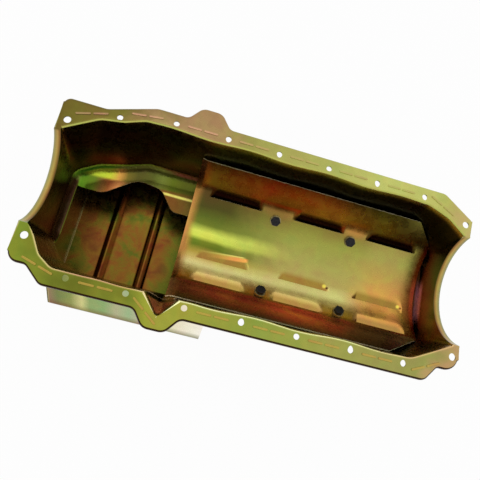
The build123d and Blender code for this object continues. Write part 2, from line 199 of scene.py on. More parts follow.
# the drawn pan's film. A pair is where a change starts and where it is whole, in mm in the pan's frame,
# and tints go from one end of a range to the other
pressingFilm = {
    # the rails, along x: the broad patches push their tints forwards by up to this much
    "drift": 160, "rails": (-190, 360),
    "leftRail": {0.0: "6C5E26", 0.14: "74682C", 0.27: "A08256", 0.33: "A88A58", 0.40: "9C984C",
                 0.50: "AAA656", 0.62: "B2B45E", 0.80: "C2C46A", 0.92: "B6B65E", 0.99: "BEAC68"},
    "rightRail": {0.0: "84902C", 0.13: "6C7022", 0.22: "7A8028", 0.30: "98A034", 0.36: "A09E3A",
                  0.48: "8E9A3C", 0.60: "98A046", 0.70: "A09E4C", 0.89: "9A9850", 0.95: "B89862"},
    "rightHalf": (30, -30),
    # the beads' tops on them are pinker, and paler as a painted highlight
    "leftBeadHighlight": {0.10: "B08864", 0.32: "D8A080", 0.42: "C4A868", 0.7: "B4A860"},
    "rightBeadHighlight": "C09C46", "beadRise": (0.2, 0.8), "beadHighlightShare": 0.65,
    # the bend round the mouth is paler as a painted highlight, and painted shade makes the turned-down edge
    # nearly black on the right
    "mouth": (-260, 270), "leftMouthHighlight": "B4B458", "rightHemShade": "2E1C0C",
    "rightMouthHighlight": {0.05: "D8C880", 0.14: "E0A880", 0.24: "D8B070", 0.30: "FFFFBC", 0.75: "F4F4A4",
                   0.92: "D8B878"},
    # the drawn walls, red-brown low down; high on the left, from the middle forwards, painted shade makes
    # them nearly black
    "belowFlange": (-4, -12), "lowWall": (-60, -85), "lowWallTint": "663820",
    "wall": {0.34: "4A5A26", 0.47: "5A5626", 0.58: "604824", 0.70: "5E3420"},
    "inside": (4, -4),
    "wallShade": "30301A", "wallShadeSide": (20, 70), "wallShadeRun": (-20, 80), "wallShadeHeight": (-80, -50),
    # the floor beside the opening: green and chartreuse at the rear, orange by the notch, grey-olive
    # past it, then green again, with brown inside that
    "floorDrift": 12, "floor": (-256, -86),
    "flat": {0.0: "84A02C", 0.06: "5A8418", 0.15: "667C20", 0.21: "80582C", 0.27: "9C5828", 0.35: "E09450",
             0.41: "946C38", 0.47: "666032", 0.66: "646C30", 0.72: "74461C", 0.86: "6C4A1C", 1.0: "5C4E1E"},
    # the bend above it, which starts nearer the middle towards the front; its bright chartreuse run is a
    # painted highlight
    "bendStart": (74.5, 69.0), "bendSkew": 0.075,
    "bendTintAndHighlight": {0.0: "6A982C", 0.05: "90B02A", 0.12: "BCD232", 0.26: "C8D034", 0.33: "D89C44", 0.40: "786C28",
             0.48: "5A5624", 0.62: "5E6026", 0.70: "727A30", 0.78: "606C1C", 0.90: "585C1C"},
    # up the bend: a dark strip of painted shade, a bright line of painted highlight where it starts, and then
    # the wall
    "stripLevel": (-111.2, -108.8), "lineLevel": (-105.8, -104.6), "wallLevel": (-102.2, -100.8),
    "shadeStrip": {0.0: "78B028", 0.08: "48901C", 0.26: "58941C", 0.36: "8C8C3C", 0.60: "9A9C40",
              0.66: "B8C050", 0.74: "A89C4C", 0.82: "B86C48"},
    "highlightLine": {0.0: "B8E048", 0.30: "ACD83C", 0.50: "98AC38", 0.60: "BCC040", 0.72: "9A6030"},
    "lineFilm": (-116.0, -110.5),
    # a painted highlight: a bright streak where the flat meets the bend, past the notch
    "streakHighlight": "D2C460", "streakMiddle": 56.5, "streakWidth": (2.8, 0.8), "streakRun": (-146, -136),
    # the strip beside the opening's rear edge
    "rearStrip": "4A2E14", "rearEdge": (-255.5, -257.5), "rearSide": (46, 38), "rearDepth": (-98, -101),
    # a painted highlight: a rosy crescent low on the front wall
    "crescentHighlight": "D0848C", "crescentDepth": (-87.5, -93.5), "crescentSides": (-44, 28),
    "crescentRun": {0.0: "000000", 0.25: "FFFFFF", 0.75: "FFFFFF", 1.0: "000000"},
    "frontWall": (265.5, 266.2),
    # the dipstick pocket's faces are browner, its rear face painted lighter and its front face darker as
    # painted light and shade, with a painted highlight as a fine pale crease where they run into the wall
    "pocketStart": (-103.5, -106), "pocketMiddle": (-94, -92), "pocketLitAndShadedTints": ("E08C48", "984028"),
    "creaseHighlight": "D8B890", "creaseSide": (-99.0, 0.7), "creaseRun": (-100, 24),       # middle, reach
    # the half-round seal seats are paler, gold in their middle
    "middle": 0.75, "seatStart": (266.3, 266.7), "seatWidth": (266.3, 274.2), "seatDepth": (-1, -4),
    "seat": {0.0: "6C4828", 0.25: "9A7838", 0.50: "B49850", 0.78: "A09254", 1.0: "9A9A74"},
}


def chromatePressing():
    # the drawn pan: olive and pinkish at the rear, paler green to the front, walls greener and redder, with
    # painted highlights and shade on its bends, beads, ledge, pocket and walls
    film = pressingFilm
    material, tree, place, (x, y, z), broad = chromateBase("yellowChromatePressing")
    along, alongSkin = [addNode(tree, "ShaderNodeMath", {0: broad, 2: x}, {1: film[reach] * mm},
                                operation="MULTIPLY_ADD") for reach in ("drift", "floorDrift")]
    alongRails = shareOf(tree, (along, film["rails"]))
    alongFloor = shareOf(tree, (alongSkin, film["floor"]))
    leftRail, rightRail, leftBeadHighlight = [
        addNode(tree, "ShaderNodeValToRGB", {"Fac": alongRails}, stops=film[name])
        for name in ("leftRail", "rightRail", "leftBeadHighlight")]
    flat, bendTintAndHighlight, shadeStrip, highlightLine = [
        addNode(tree, "ShaderNodeValToRGB", {"Fac": alongFloor}, stops=film[name])
        for name in ("flat", "bendTintAndHighlight", "shadeStrip", "highlightLine")]
    rightHalf = shareOf(tree, (y, film["rightHalf"]))
    flange = tinted(tree, leftRail, rightRail, rightHalf)
    wall = addNode(tree, "ShaderNodeValToRGB", {"Fac": broad}, stops=film["wall"])
    below = shareOf(tree, (z, film["belowFlange"]))
    outside = tinted(tree, tinted(tree, flange, wall, below), film["lowWallTint"], (z, film["lowWall"]))
    # a face looks into the pan where its normal points back to the crank's line
    inwards = addNode(tree, "ShaderNodeVectorMath", {0: place.node.outputs["Normal"], 1: place},
                      operation="DOT_PRODUCT")
    inside = shareOf(tree, (inwards, film["inside"]))
    # painted shade: the left-hand wall nearly black high up, from the middle forwards
    wallsWithShade = tinted(tree, outside, film["wallShade"], (y, film["wallShadeSide"]), (along, film["wallShadeRun"]),
                       (z, film["wallShadeHeight"]), below, inside)
    skew = addNode(tree, "ShaderNodeMath", {0: x, 2: y}, {1: -film["bendSkew"]}, operation="MULTIPLY_ADD")
    # the bend's bright chartreuse run is a painted highlight
    floor = tinted(tree, bendTintAndHighlight, flat, (skew, film["bendStart"]), smooth=True)
    # painted highlight: a bright streak where the flat meets the bend
    fromStreak = awayFrom(tree, y, film["streakMiddle"])
    floor = tinted(tree, floor, film["streakHighlight"], (fromStreak, film["streakWidth"]), (x, film["streakRun"]))
    # up the bend, a dark strip of painted shade and a bright line of painted highlight
    for tint, level in ((shadeStrip, "stripLevel"), (highlightLine, "lineLevel"), (wallsWithShade, "wallLevel")):
        floor = tinted(tree, floor, tint, (z, film[level]))
    floor = tinted(tree, floor, film["rearStrip"], (x, film["rearEdge"]), (y, film["rearSide"]),
                   (z, film["rearDepth"]))
    onLine = shareOf(tree, (z, film["lineFilm"]), (z, film["wallLevel"][::-1]), inside)
    # painted highlight: a rosy crescent low on the front wall
    crescentRun = addNode(tree, "ShaderNodeValToRGB", {"Fac": shareOf(tree, (y, film["crescentSides"]))},
                          stops=film["crescentRun"])
    onCrescentHighlight = shareOf(tree, (z, film["crescentDepth"]), crescentRun, (x, film["frontWall"]))
    floor = tinted(tree, floor, film["crescentHighlight"], onCrescentHighlight)
    skin = tinted(tree, outside, floor, inside)
    # the bends and beads, with painted highlights on the mouth's bend and the beads' tops, and painted shade
    # on the right-hand turned-down edge
    mouthHighlight, hem = [addNode(tree, "ShaderNodeAttribute", attribute_name=name).outputs["Fac"]
                      for name in ("mouthHighlight", "hem")]
    rightMouthHighlight = addNode(tree, "ShaderNodeValToRGB", {"Fac": shareOf(tree, (x, film["mouth"]))},
                         stops=film["rightMouthHighlight"])
    # painted highlight along the bend round the mouth
    skin = tinted(tree, skin, tinted(tree, film["leftMouthHighlight"], rightMouthHighlight, rightHalf), mouthHighlight)
    # painted highlight: the beads' tops paler and pinker
    skin = tinted(tree, skin, tinted(tree, leftBeadHighlight, film["rightBeadHighlight"], rightHalf), (z, film["beadRise"]),
                  most=film["beadHighlightShare"])
    # painted shade: the turned-down edge is nearly black on the right
    skin = tinted(tree, skin, tinted(tree, flange, film["rightHemShade"], rightHalf), hem)
    # the dipstick pocket
    # the pocket's rear face painted lighter and its front face darker, as painted light and shade
    inPocket = shareOf(tree, (y, film["pocketStart"]), below, inside)
    skin = tinted(tree, skin, tinted(tree, *film["pocketLitAndShadedTints"], (x, film["pocketMiddle"])), inPocket)
    # painted highlight: a fine pale crease where the pocket runs into the wall
    creaseParts = [addNode(tree, "ShaderNodeMath", {0: axis}, {1: middle * mm, 2: reach * mm},
                           operation="COMPARE")
                   for axis, (middle, reach) in ((y, film["creaseSide"]), (x, film["creaseRun"]))]
    onCreaseHighlight = shareOf(tree, *creaseParts, below, inside)
    skin = tinted(tree, skin, film["creaseHighlight"], onCreaseHighlight)
    # the seal seats
    toEnd = awayFrom(tree, x, film["middle"])
    seat = addNode(tree, "ShaderNodeValToRGB", {"Fac": shareOf(tree, (toEnd, film["seatWidth"]))},
                   stops=film["seat"])
    skin = tinted(tree, skin, seat, (toEnd, film["seatStart"]), (z, film["seatDepth"]))
    thick = onLine
    for share in (onCrescentHighlight, onCreaseHighlight, inPocket):
        thick = addNode(tree, "ShaderNodeMath", {0: thick, 1: share}, operation="MAXIMUM")
    chromateEnd(tree, place, skin, thick)
    return material


# the tray's film. A pair is where a change starts and where it is whole: mm along x, or degrees round the
# crank's line from straight down. The broad patches push its tints along and round by up to a drift
trayFilm = {
    "angleDrift": 0.10,             # radians
    "endDrift": 12, "drift": 80, "toMiddle": (-5, 115), "toFront": (170, 250),
    "around": (-66, 66),
    # the chartreuse band in the rear's curve is a painted reflection
    "rear": {0.05: "8A5420", 0.19: "B86030", 0.22: "CC9844", 0.27: "E0BC6C", 0.335: "F6F09A",
             0.375: "D0BC64", 0.41: "B0983C", 0.455: "62701E", 0.485: "6E7E22", 0.515: "C8D64E",
             0.55: "D4E058", 0.60: "6E7A28", 0.70: "504E20", 0.82: "604822", 0.90: "8A5020"},
    "middle": {0.05: "8A5420", 0.18: "C06838", 0.22: "CC9C50", 0.27: "DCB868", 0.34: "E4DC88",
               0.42: "B4A458", 0.55: "A6A050", 0.66: "9C9C44", 0.75: "8A7E36", 0.80: "A8843E",
               0.86: "A47C3C"},
    "front": {0.05: "6A4A1C", 0.18: "9A6028", 0.23: "DCA04C", 0.33: "F0AC4C", 0.45: "D89C4A",
              0.58: "B89C4C", 0.68: "A8A04E", 0.76: "A29648", 0.86: "8C8030", 0.95: "6C6420"},
    # the flanks: red-brown, olive towards the front, and painted shade darkens them towards their upper edges
    "flanks": (-60, 300), "leftStart": (40, 46), "rightStart": (-38.5, -42), "rightThick": 0.7,
    "leftFlank": {0.0: "B07838", 0.08: "908430", 0.18: "A07830", 0.28: "A8642A", 0.36: "98742E",
                  0.60: "BC983C", 0.80: "B4B048", 0.95: "8C8038"},
    "rightFlank": {0.0: "7A3A24", 0.12: "A03820", 0.33: "C44A24", 0.46: "FF6A2C", 0.60: "DC5828",
                   0.74: "70401F", 0.86: "564024", 0.97: "8E8440"},
    "flankShadeAround": (-74, 74),
    "flankShade": {0.014: "54483A", 0.050: "988878", 0.100: "DCCCBC", 0.150: "FFFFFF", 0.195: "D0C0B0",
             0.228: "FFFFFF", 0.880: "FFFFFF", 0.950: "B4B4B4"},
    # pressed louvres: painted shade makes them dark red-brown in the left-hand row; deeper gold in the others
    "pressedShare": (0.02, 0.40),
    "pressed": {0.27: "B48C44", 0.40: "A07C34", 0.60: "A07C34", 0.70: "2E1810"},
    # painted highlights on the first middle louvre: a fine bright line along its bend, and orange under it
    # that widens forwards
    "louvreSlant": 0.83, "louvreAcross": (-10, -2),
    "louvreHighlightRun": {0.0: "000000", 0.35: "A0A0A0", 0.70: "FFFFFF", 0.90: "FFFFFF", 0.98: "000000"},
    "louvreHighlights": (("F0DC70", (-70, 4), {0.35: "000000", 0.50: "FFFFFF", 0.60: "000000"}),
                    ("F0A64C", (-56, 8), {0.0: "000000", 0.12: "FFFFFF", 0.38: "FFFFFF", 0.47: "000000"})),
    # tinted patches between two upper louvres, the darker at 31 and the brighter at 147, which is a painted
    # highlight: the middle of each patch, and its tint
    "patchTintsAndHighlight": {31: "7C5A24", 147: "E8AC48"},
    "patchRun": (24, 4), "patchShare": 0.75, "patchAround": (30, 50),
    "patchHeight": {0.0: "000000", 0.35: "B4B4B4", 0.60: "FFFFFF", 0.66: "FFFFFF", 1.0: "000000"},
    # painted glints: small bright spots where a louvre's end was drawn, each with a spot of painted shade
    # past it: mm along, degrees, radius in mm, tint
    "glintRadius": 104, "glintCore": 0.4,
    "glintsAndShadeSpots": ((122.5, -11.4, 3.6, "ECD850"), (127.0, -12.6, 2.6, "4A2C14"),
               (238.2, -12.3, 3.2, "ECD850"), (242.2, -13.4, 2.4, "5A3018")),
    # the rolled ends are tinted: brown and then orange at the rear, red-brown at the front
    "rearBand": (-72, -84), "rearBandTint": "B07838", "rearBandShare": 0.75,
    "frontBand": (252, 264), "frontBandTint": "C8904C", "frontBandShare": 0.5,
    "endTints": ("E09A50", "D07C38"),
}


def chromateTray():
    # the rolled tray: gold, with a chartreuse band low in its curve at the rear that is a painted reflection,
    # and redder flanks
    film = trayFilm
    material, tree, place, (x, y, z), broad = chromateBase("yellowChromateTray")
    down = addNode(tree, "ShaderNodeMath", {0: z}, {1: -1.0}, operation="MULTIPLY")
    angle = addNode(tree, "ShaderNodeMath", {0: y, 1: down}, operation="ARCTAN2")
    # the broad patches push the angle to and fro
    push = addNode(tree, "ShaderNodeMath", {0: broad}, {1: 0.5}, operation="SUBTRACT")
    pushed = addNode(tree, "ShaderNodeMath", {0: push, 2: angle}, {1: film["angleDrift"]},
                     operation="MULTIPLY_ADD")
    along, alongEnds = [addNode(tree, "ShaderNodeMath", {0: broad, 2: x}, {1: film[reach] * mm},
                                operation="MULTIPLY_ADD") for reach in ("drift", "endDrift")]
    around = shareOf(tree, (pushed, film["around"]), unit=degree)
    rear, middle, front, pressed = [
        addNode(tree, "ShaderNodeValToRGB", {"Fac": around}, stops=film[name])
        for name in ("rear", "middle", "front", "pressed")]
    toFront = shareOf(tree, (along, film["toFront"]), smooth=True)
    skin = tinted(tree, rear, middle, (along, film["toMiddle"]), smooth=True)
    skin = tinted(tree, skin, front, toFront)
    # the flanks
    leftFlank, rightFlank = [
        addNode(tree, "ShaderNodeValToRGB", {"Fac": shareOf(tree, (along, film["flanks"]))}, stops=film[name])
        for name in ("leftFlank", "rightFlank")]
    onRight = shareOf(tree, (pushed, film["rightStart"]), unit=degree, smooth=True)
    skin = tinted(tree, skin, leftFlank, (pushed, film["leftStart"]), unit=degree, smooth=True)
    skin = tinted(tree, skin, rightFlank, onRight)
    # painted shade, darker towards the flanks' upper edges
    flankShade = addNode(tree, "ShaderNodeValToRGB",
                   {"Fac": shareOf(tree, (pushed, film["flankShadeAround"]), unit=degree)}, stops=film["flankShade"])
    skin = addNode(tree, "ShaderNodeMix", {"A": skin, "B": flankShade}, {"Factor": 1.0}, data_type="RGBA",
                   blend_type="MULTIPLY")
    # the louvres
    press, rolledEnd = [addNode(tree, "ShaderNodeAttribute", attribute_name=name).outputs["Fac"]
                     for name in ("pressed", "rolledEnd")]
    # the left-hand row's flaps are painted dark red-brown as shade
    skin = tinted(tree, skin, pressed, (press, film["pressedShare"]), unit=1)
    # painted highlights along the first middle louvre
    slant = addNode(tree, "ShaderNodeMath", {0: x, 2: angle}, {1: -film["louvreSlant"]},
                    operation="MULTIPLY_ADD")
    across = shareOf(tree, (slant, film["louvreAcross"]), unit=degree)
    for tint, reach, stops in film["louvreHighlights"]:
        run = addNode(tree, "ShaderNodeValToRGB", {"Fac": shareOf(tree, (x, reach))}, stops=film["louvreHighlightRun"])
        band = addNode(tree, "ShaderNodeValToRGB", {"Fac": across}, stops=stops)
        skin = tinted(tree, skin, tint, run, band)
    # tinted patches, the brighter one a painted highlight
    patchHeight = addNode(tree, "ShaderNodeValToRGB",
                          {"Fac": shareOf(tree, (pushed, film["patchAround"]), unit=degree)},
                          stops=film["patchHeight"])
    for patchMiddle, tint in film["patchTintsAndHighlight"].items():
        skin = tinted(tree, skin, tint, (awayFrom(tree, x, patchMiddle), film["patchRun"]), patchHeight,
                      most=film["patchShare"], smooth=True)
    # painted glints, each with a spot of painted shade past it
    for glintX, degrees, size, tint in film["glintsAndShadeSpots"]:
        spot = Vector((glintX, film["glintRadius"] * sin(degrees * degree),
                       -film["glintRadius"] * cos(degrees * degree))) * mm
        away = addNode(tree, "ShaderNodeVectorMath", {0: place}, {1: spot}, operation="DISTANCE")
        skin = tinted(tree, skin, tint, (away, (size, film["glintCore"] * size)))
    # the rolled ends
    for band in ("rearBand", "frontBand"):
        skin = tinted(tree, skin, film[band + "Tint"], (alongEnds, film[band]), most=film[band + "Share"],
                      smooth=True)
    skin = tinted(tree, skin, tinted(tree, *film["endTints"], toFront), rolledEnd)
    thick = addNode(tree, "ShaderNodeMath", {0: onRight}, {1: film["rightThick"]}, operation="MULTIPLY")
    chromateEnd(tree, place, skin, thick)
    return material


# the sump box's ribs, which its finish follows too, in mm
sumpRibs = {
    "middles": (-201.5, -141.0, -80.5),         # along x
    "halfWidth": 113,                           # across y
    "innerLevel": -186.4, "outerLevel": -188.0, "height": 3.6,
    "settle": 0.62,                 # the drawn ribs are a little lower and softer than their full height
}
# the sump box's film: each pair is where a change starts and where it is whole, in mm
sumpFilm = {
    "patchSize": 36,
    "floor": {0.34: "56601C", 0.45: "74601C", 0.55: "7E501C", 0.68: "6E3C1C"},
    # greener towards the tray
    "towardsTray": (-122, -98), "trayTint": "56661C", "trayShare": 0.6,
    "aboveFloor": (-180, -165), "sides": (-258, -31),
    # the flared sides: the thin pale stripe is a painted highlight, and the near-white towards the front a
    # painted reflection
    "side": {0.0: "9A7458", 0.07: "74803E", 0.15: "8C9648", 0.22: "D4CC84", 0.27: "94A862",
             0.36: "8CAC68", 0.44: "B4B488", 0.52: "A0B884", 0.60: "C4B898", 0.68: "BCC898",
             0.82: "ECE2C0", 1.0: "F8F2E2"},
    # the ribs: painted shade on their slopes, and a painted highlight as a fine grey line along their crests
    "ribShadeAndHighlight": {0.0: "BCBCBC", 0.14: "786454", 0.40: "5E4C40", 0.46: "C4BCBC", 0.50: "C4BCBC",
                0.56: "8C7868", 0.84: "907C6C", 1.0: "BCBCBC"},
    "ribShadingHalf": 10, "ribHalf": 9, "ribEnds": (113, 108),
    # a pale line along the floor's rear edge
    "rearEdgeLine": "B8A870", "seamEdge": (-254.8, -255.6), "seamShare": 0.8,
}


def chromateSump():
    # the sump box: brown and orange floor with olive patches, paler green on the flared sides
    film = sumpFilm
    material, tree, place, (x, y, z), broad = chromateBase("yellowChromateSump")
    patch = addNode(tree, "ShaderNodeTexNoise", {"Vector": place},
                    {"Scale": perMetre(film["patchSize"]), "Detail": 3.0, "Roughness": 0.6,
                     "Distortion": 0.4})
    floor = addNode(tree, "ShaderNodeValToRGB", {"Fac": patch}, stops=film["floor"])
    floor = tinted(tree, floor, film["trayTint"], (x, film["towardsTray"]), most=film["trayShare"])
    side = addNode(tree, "ShaderNodeValToRGB", {"Fac": shareOf(tree, (x, film["sides"]))}, stops=film["side"])
    above = shareOf(tree, (z, film["aboveFloor"]))
    skin = tinted(tree, floor, side, above)
    offEnds = shareOf(tree, (awayFrom(tree, y, 0), film["ribEnds"]))
    # painted shade on the ribs' slopes and a painted highlight along their crests
    for middle in sumpRibs["middles"]:
        overRib = shareOf(tree, (x, (middle - film["ribShadingHalf"], middle + film["ribShadingHalf"])))
        ribShading = addNode(tree, "ShaderNodeValToRGB", {"Fac": overRib}, stops=film["ribShadeAndHighlight"])
        near = addNode(tree, "ShaderNodeMath", {0: x}, {1: middle * mm, 2: film["ribHalf"] * mm},
                       operation="COMPARE")
        lowNear = addNode(tree, "ShaderNodeMath", {0: near, 1: above}, operation="SUBTRACT", use_clamp=True)
        skin = tinted(tree, skin, ribShading, lowNear, offEnds, blend="OVERLAY")
    skin = tinted(tree, skin, film["rearEdgeLine"], (x, film["seamEdge"]), most=film["seamShare"])
    chromateEnd(tree, place, skin)
    return material


def chromatePlate():
    # the flat end plates and gussets: olive, darker and browner in patches
    material, tree, place, xyz, broad = chromateBase("yellowChromatePlate")
    tint = addNode(tree, "ShaderNodeValToRGB", {"Fac": broad},
                   stops={0.32: "525824", 0.48: "605A26", 0.60: "6C4E24", 0.72: "5A381E"})
    chromateEnd(tree, place, tint)
    return material


def cloudedMetal(name, stops, grainMm, roughness, detail=4.0, metallic=1.0):
    # a plated, oxidised or bare metal, with fine clouding between two tints
    material, tree = newMaterial(name)
    place = addNode(tree, "ShaderNodeTexCoord").outputs["Object"]
    cloud = addNode(tree, "ShaderNodeTexNoise", {"Vector": place},
                    {"Scale": perMetre(grainMm), "Detail": detail})
    tint = addNode(tree, "ShaderNodeValToRGB", {"Fac": cloud}, stops=stops)
    gloss = addNode(tree, "ShaderNodeMapRange", {"Value": cloud},
                    {"To Min": roughness[0], "To Max": roughness[1]})
    shader = addNode(tree, "ShaderNodeBsdfPrincipled", {"Base Color": tint, "Roughness": gloss},
                     {"Metallic": metallic})
    addNode(tree, "ShaderNodeOutputMaterial", {"Surface": shader})
    return material


pressingFinish = chromatePressing()
trayFinish = chromateTray()
sumpFinish = chromateSump()
plateFinish = chromatePlate()
# black oxide: nearly black with a faint oily sheen
boltFinish = cloudedMetal("blackOxideSteel", {0.35: "141416", 0.65: "2C2C30"}, 2.5, (0.3, 0.55), 3.0, 0.7)
# bright zinc: bluish white, slightly cloudy
zincFinish = cloudedMetal("brightZincSteel", {0.3: "A9ACAE", 0.7: "C9CCCC"}, 3, (0.24, 0.40))
# the zinc of the washers under the tray's bolts has dulled
dullZincFinish = cloudedMetal("dulledZincSteel", {0.3: "8A7C58", 0.7: "B0A474"}, 3, (0.34, 0.50))
# a sheared sheet edge: paler than the faces and rough, so it shows as a fine light line
cutFinish = cloudedMetal("shearedSheetEdge", {0.3: "D8CCA4", 0.7: "EEE6C8"}, 2, (0.52, 0.68))
# copper: soft pink-brown, dulled by handling
copperFinish = cloudedMetal("copperSheet", {0.3: "A8654A", 0.7: "C98A66"}, 4, (0.26, 0.42))
print("finishes made")

# mm between doubles, degrees between flush faces, and the degrees past which an edge is sharp or eased
meshCopy = {"weld": 0.001, "flatWithin": 0.6, "sharpFrom": 32, "easeFrom": 40}


def mergedCopy(nodeName):
    bm = bmesh.new()
    bm.from_mesh(nodes[nodeName].data)
    bmesh.ops.remove_doubles(bm, verts=bm.verts, dist=meshCopy["weld"] * mm)
    bmesh.ops.dissolve_limit(bm, angle_limit=radians(meshCopy["flatWithin"]), verts=bm.verts, edges=bm.edges)
    return bm


def finishPiece(bm, name, material, replaced, sharpFrom=meshCopy["sharpFrom"], modifiers=(),
                second=None):
    mesh = bpy.data.meshes.new(name)
    bm.to_mesh(mesh)
    bm.free()
    mesh.shade_smooth()
    mesh.set_sharp_from_angle(angle=radians(sharpFrom))
    mesh.materials.append(material)
    if second:
        mesh.materials.append(second)
    piece = bpy.data.objects.new(name, mesh)
    bpy.context.scene.collection.objects.link(piece)
    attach(piece, "root")
    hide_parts(replaced)
    for kind, settings in modifiers:
        added = piece.modifiers.new(kind.lower(), kind)
        for setting, value in settings.items():
            setattr(added, setting, value)
    flat = piece.modifiers.new("flatFaces", "WEIGHTED_NORMAL")
    flat.keep_sharp = True


def roundEdges(bm, edges, radius, segments, clamp=False):
    return bmesh.ops.bevel(bm, geom=edges, offset=radius * mm, segments=segments, profile=0.5,
                           affect="EDGES", material=-1, clamp_overlap=clamp)


# pan body: the pressed sheet, with its bends rounded; mm
panBody = {
    "innerBend": 2.6, "outerBend": 3.6, "bendSegments": 4,      # at the mouth and the hem
    "beadTop": 0.9, "beadBend": 0.65, "beadSegments": 2,
    "hemReach": (4.6, 5.2),         # the turned-down edge ends at a depth between these
    "leanReach": 1.8,               # a side face that leans and is deeper than this is the mouth's
    "upright": 0.02,                # a side face that leans less than this is upright
    # the painted highlight on the mouth's bend goes in full where its faces look this far up
    "brightBend": (0.5, 0.93), "dimBend": 0.15,     # how far up a bend's faces look where it shines
    "hemTop": 0.9,                  # and how far up they look where it is the flange, not the hem
    "cuts": (-224, 240), "cutStep": 8.0,            # along x, so that the rails can waver
    "waver": 1.2,                   # how far the long walls wander at the flange
    "waverLength": 106.0, "waverStart": -36, "waverDepth": (2, 26),
    "waverAcross": (80, 98, 105, 109), "waverAlong": (-190, -150, 190, 225), "waverDrop": (60, 140),
    "pocketX": -96, "pocketReach": (26, 40),        # no waver near the dipstick pocket
    "floorSheet": (-120.8, -117.5),                 # the opening's sheared edge lies between these
}


def rimEdges(bm, level=0.0):
    # edges at one level between an upward face and a side face, with the side's lean and its depth in mm
    for edge in bm.edges:
        if len(edge.link_faces) == 2 and all(abs(v.co.z - level * mm) < 0.02 * mm for v in edge.verts):
            low, high = sorted(edge.link_faces, key=lambda f: f.normal.z)
            if high.normal.z > 0.99 and abs(low.normal.z) < 0.5:
                yield edge, abs(low.normal.z), -min(v.co.z for v in low.verts) / mm


def makePanBody():
    bm = mergedCopy("pan_body")
    mouth = bm.faces.layers.float.new("mouthHighlight")
    hem = bm.faces.layers.float.new("hem")
    shallow, deep = panBody["hemReach"]
    upright = panBody["upright"]
    inner = [edge for edge, lean, depth in rimEdges(bm)
             if depth > deep or (lean > upright and depth > panBody["leanReach"])]
    bright, flat = panBody["brightBend"]
    # the mouth's bend faces that look partly up carry the full painted highlight, the others a little of it
    for face in roundEdges(bm, inner, panBody["innerBend"], panBody["bendSegments"])["faces"]:
        face[mouth] = 1.0 if bright < face.normal.z < flat else panBody["dimBend"]
    outer = [edge for edge, lean, depth in rimEdges(bm) if lean < upright and shallow < depth < deep]
    for edge in outer:
        min(edge.link_faces, key=lambda f: f.normal.z)[hem] = 1.0
    for face in roundEdges(bm, outer, panBody["outerBend"], panBody["bendSegments"])["faces"]:
        face[hem] = 1.0 if face.normal.z < panBody["hemTop"] else 0.0
    beads = [edge for edge, lean, depth in rimEdges(bm, panBody["beadTop"]) if depth < 0.1]
    roundEdges(bm, beads, panBody["beadBend"], panBody["beadSegments"])
    print("pan body bends:", len(inner), len(outer), len(beads))
    # the long walls waver a little where the press drew them
    x, end = panBody["cuts"]
    while x < end:
        bmesh.ops.bisect_plane(bm, geom=bm.verts[:] + bm.edges[:] + bm.faces[:], dist=1e-6,
                               plane_co=(x * mm, 0, 0), plane_no=(1, 0, 0))
        x += panBody["cutStep"]
    floorSide, wall, lip, rim = panBody["waverAcross"]
    rear, rearFull, frontFull, front = panBody["waverAlong"]
    for vert in bm.verts:
        x, across, depth = vert.co.x / mm, abs(vert.co.y) / mm, -vert.co.z / mm
        side = 1 if vert.co.y > 0 else -1
        reach = (smoothStep(across, floorSide, wall) * (1 - smoothStep(across, lip, rim))
                 * smoothStep(x, rear, rearFull) * (1 - smoothStep(x, frontFull, front))
                 * (1 - smoothStep(depth, *panBody["waverDepth"])))
        if side < 0:
            reach *= smoothStep(abs(x - panBody["pocketX"]), *panBody["pocketReach"])
        wave = (cos(2 * pi * (x - panBody["waverStart"]) / panBody["waverLength"]) - 0.5
                - 0.5 * smoothStep(x, *panBody["waverDrop"]))
        vert.co.y += side * reach * wave * panBody["waver"] * mm
    # the sheared edge of the floor's opening
    lowest, highest = (level * mm for level in panBody["floorSheet"])
    for face in bm.faces:
        depths = [v.co.z for v in face.verts]
        if abs(face.normal.z) < 0.3 and lowest < min(depths) and max(depths) < highest:
            face.material_index = 1
    finishPiece(bm, "panBody", pressingFinish, "pan_body", second=cutFinish)


makePanBody()
print("pan body done")

# windage tray: one sheet, rolled, with its louvres lanced and pressed out; mm, and degrees from straight
# down round the crank's line
tray = {
    "sheet": 1.6, "radius": 102.5, "rearX": -93.5, "frontX": 262.5,
    "leftBend": 42.5, "rightBend": -39.5,
    "leftEdge": (90.3, 38.7), "rightEdge": (-95.7, 30.0),       # y and depth of the flanks' upper edges
    "leftCut": 38.0, "rightCut": 63.0,              # along x, off the flanks' front corners
    "rows": ((34.7, (-32.5, 93.0, 205.3)), (-15.6, (-30.5, 90.5, 204.3)), (-37.7, (-31.0, 81.0, 205.5))),
    "louvreLength": 79.0, "louvreTaper": 8.0, "louvreDepth": 5.5, "louvreSpan": 8.6,
    "louvreBlend": 0.22,            # of a louvre's height, where its slopes blend into each other
    "creaseSoft": 7.0,              # of sheet on each side that takes part in a crease
    "endRoll": 8.0, "endDrop": 3.0, "endStart": 3.0,        # the rolled-down ends, begun past the edge
    "endWorked": 0.9,
    # where the flat sheet is cut into rows and columns, and how close two cuts may be
    "step": 4.0, "endCuts": (2, 4, 6, 8), "creaseCuts": (-7, -4.5, -2, 0, 2, 4.5, 7),
    "louvreCuts": (0, 0.18, 0.36, 0.54, 0.72, 0.86, 1.0, 1.14), "closestX": 0.3, "closestS": 0.7,
    "near": 0.01,                   # two places as close as this are the same
    "edgeEase": 0.35, "easeSegments": 2, "easeFrom": 50, "sharpFrom": 40,
}


